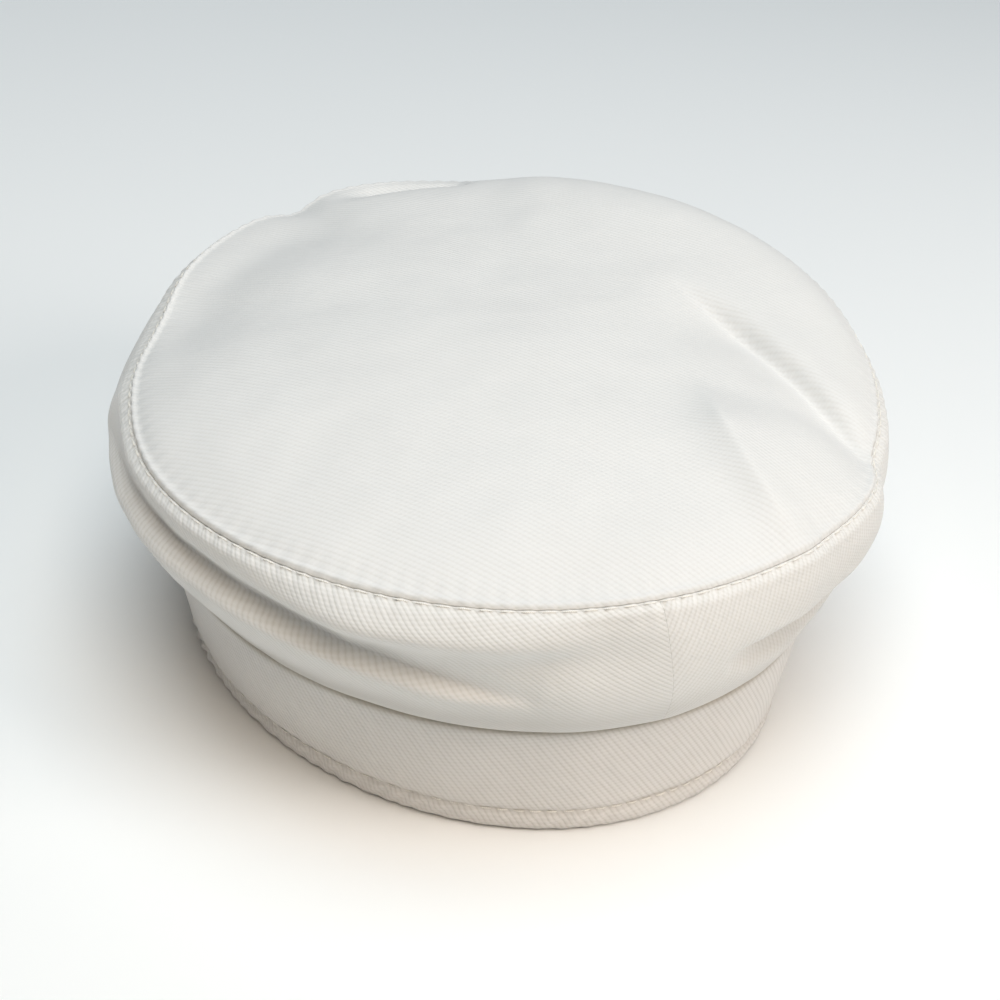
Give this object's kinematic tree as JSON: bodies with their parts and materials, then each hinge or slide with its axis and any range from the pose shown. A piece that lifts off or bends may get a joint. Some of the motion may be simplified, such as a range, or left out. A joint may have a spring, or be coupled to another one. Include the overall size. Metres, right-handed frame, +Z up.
{
  "type": "baker boy cap",
  "caption": "Soft baker boy cap in twill: puffed round top panel, two folded side panels, a plain band and a curved peak.",
  "frame": {"origin": "on the floor that the cap rests on, under the middle of its whole outline; the middle of the head opening is 19 mm from it towards the back", "axes": "+Z up out of the crown, -Y the way the wearer faces with the peak, +X the wearer's left"},
  "size_m": [0.2256, 0.2684, 0.1074],
  "materials": {
    "crown_twill": "matt ivory cotton twill, ribs about 1.35 mm apart",
    "band_twill": "matt ivory cotton twill, folded double and topstitched near its edge"
  },
  "bodies": {
    "root": {"top_panel": "crown_twill", "side_panel_left": "crown_twill", "side_panel_right": "crown_twill", "band": "band_twill", "peak": "band_twill"}
  },
  "joints": []
}
